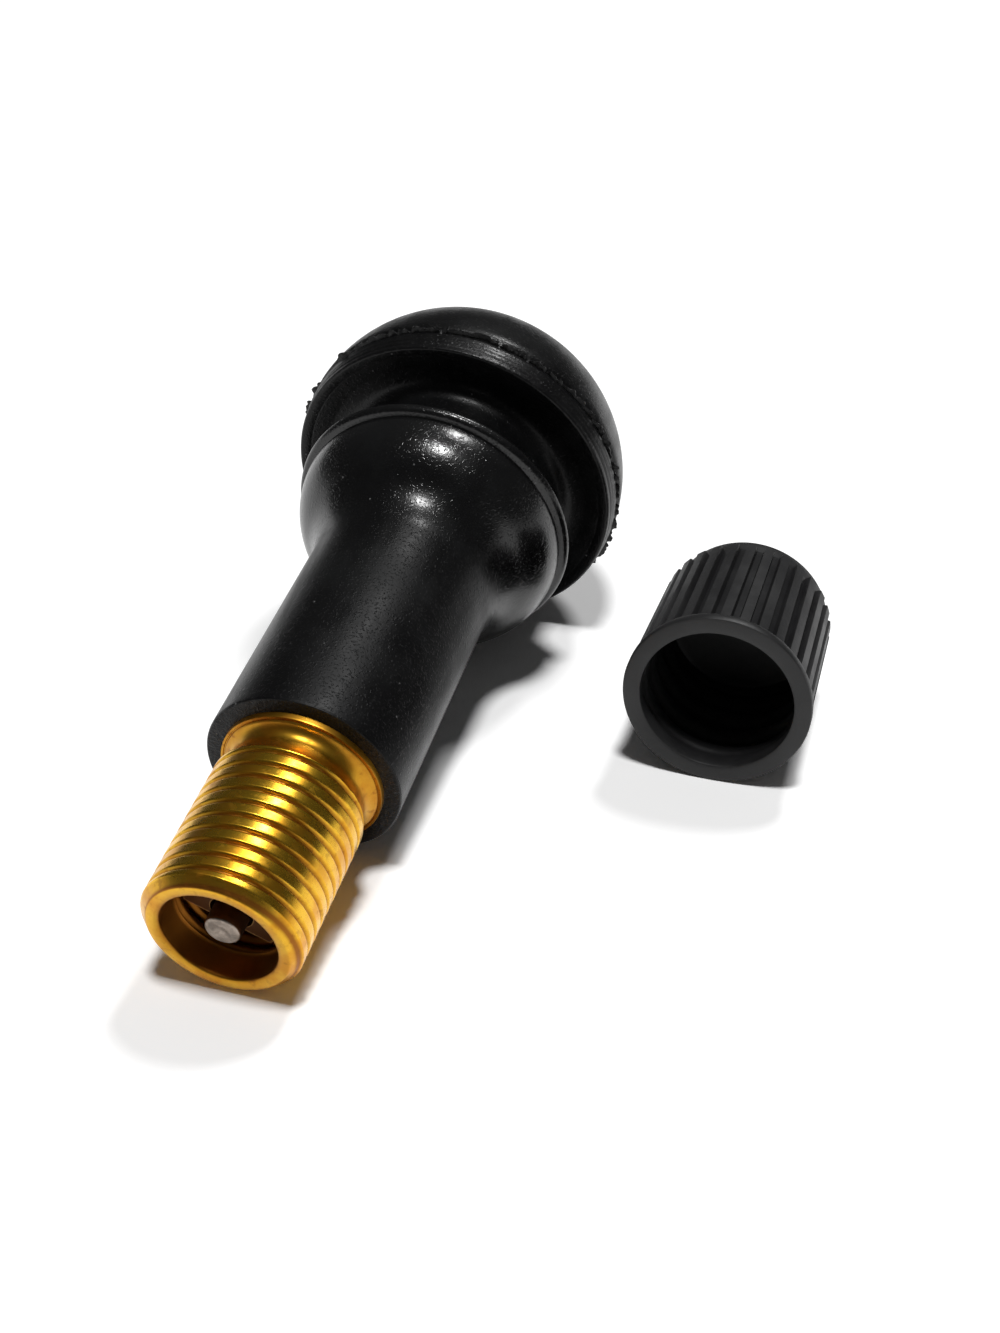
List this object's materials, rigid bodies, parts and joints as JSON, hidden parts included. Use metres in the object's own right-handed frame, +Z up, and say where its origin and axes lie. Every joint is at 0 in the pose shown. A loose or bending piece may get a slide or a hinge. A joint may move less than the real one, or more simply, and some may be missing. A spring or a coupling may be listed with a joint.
{
  "type": "tyre valve",
  "caption": "Snap-in rubber tyre valve lying on its side, with a threaded brass stem, a spring-loaded valve core in its mouth, and its ribbed dust cap set down beside it.",
  "frame": {"origin": "on the surface that the valve and the cap lie on, under the middle of the box around both", "axes": "+Z up from the surface; the stem lies in a plane of constant X with its mouth towards -Y and its head towards +Y; the cap lies on the +X side, mouth towards -Y"},
  "size_m": [0.032, 0.0434, 0.0188],
  "materials": {
    "rubber": "glossy moulded rubber, lightly scuffed",
    "brass": "bright turned and threaded brass",
    "core_brass": "turned brass",
    "red_seal": "smooth red sealing compound",
    "pin_metal": "satin plated pin",
    "spring_steel": "drawn wire",
    "black_seal": "matt sealing washer",
    "cap_plastic": "matt moulded plastic"
  },
  "bodies": {
    "valve": {"rubber_body": "rubber", "brass_stem": "brass", "dust_cap": "cap_plastic"},
    "core": {"core_barrel": "core_brass", "barrel_gasket": "red_seal", "core_spring": "spring_steel"},
    "plug": {"core_plug": "core_brass"},
    "pin": {"core_pin": "pin_metal", "core_cup": "core_brass", "cup_gasket": "black_seal"}
  },
  "joints": [
    {"name": "core_slide", "type": "slide", "parent": "valve", "child": "core", "axis": [0, -0.9869, -0.1616], "range_m": [0, 0.00353]},
    {"name": "plug_turn", "type": "hinge", "parent": "core", "child": "plug", "pos_m": [-0.0065, -0.0145, 0.0048], "axis": [0, -0.9869, -0.1616], "range_deg": [0, 1800]},
    {"name": "pin_press", "type": "slide", "parent": "core", "child": "pin", "axis": [0, 0.9869, 0.1616], "range_m": [0, 0.0014], "stiffness_N_per_m": 1500, "deforming": ["core_spring"]}
  ],
  "couplings": [
    {"joint": "plug_turn", "follows": "core_slide", "rad_per_m": 8904.7}
  ]
}
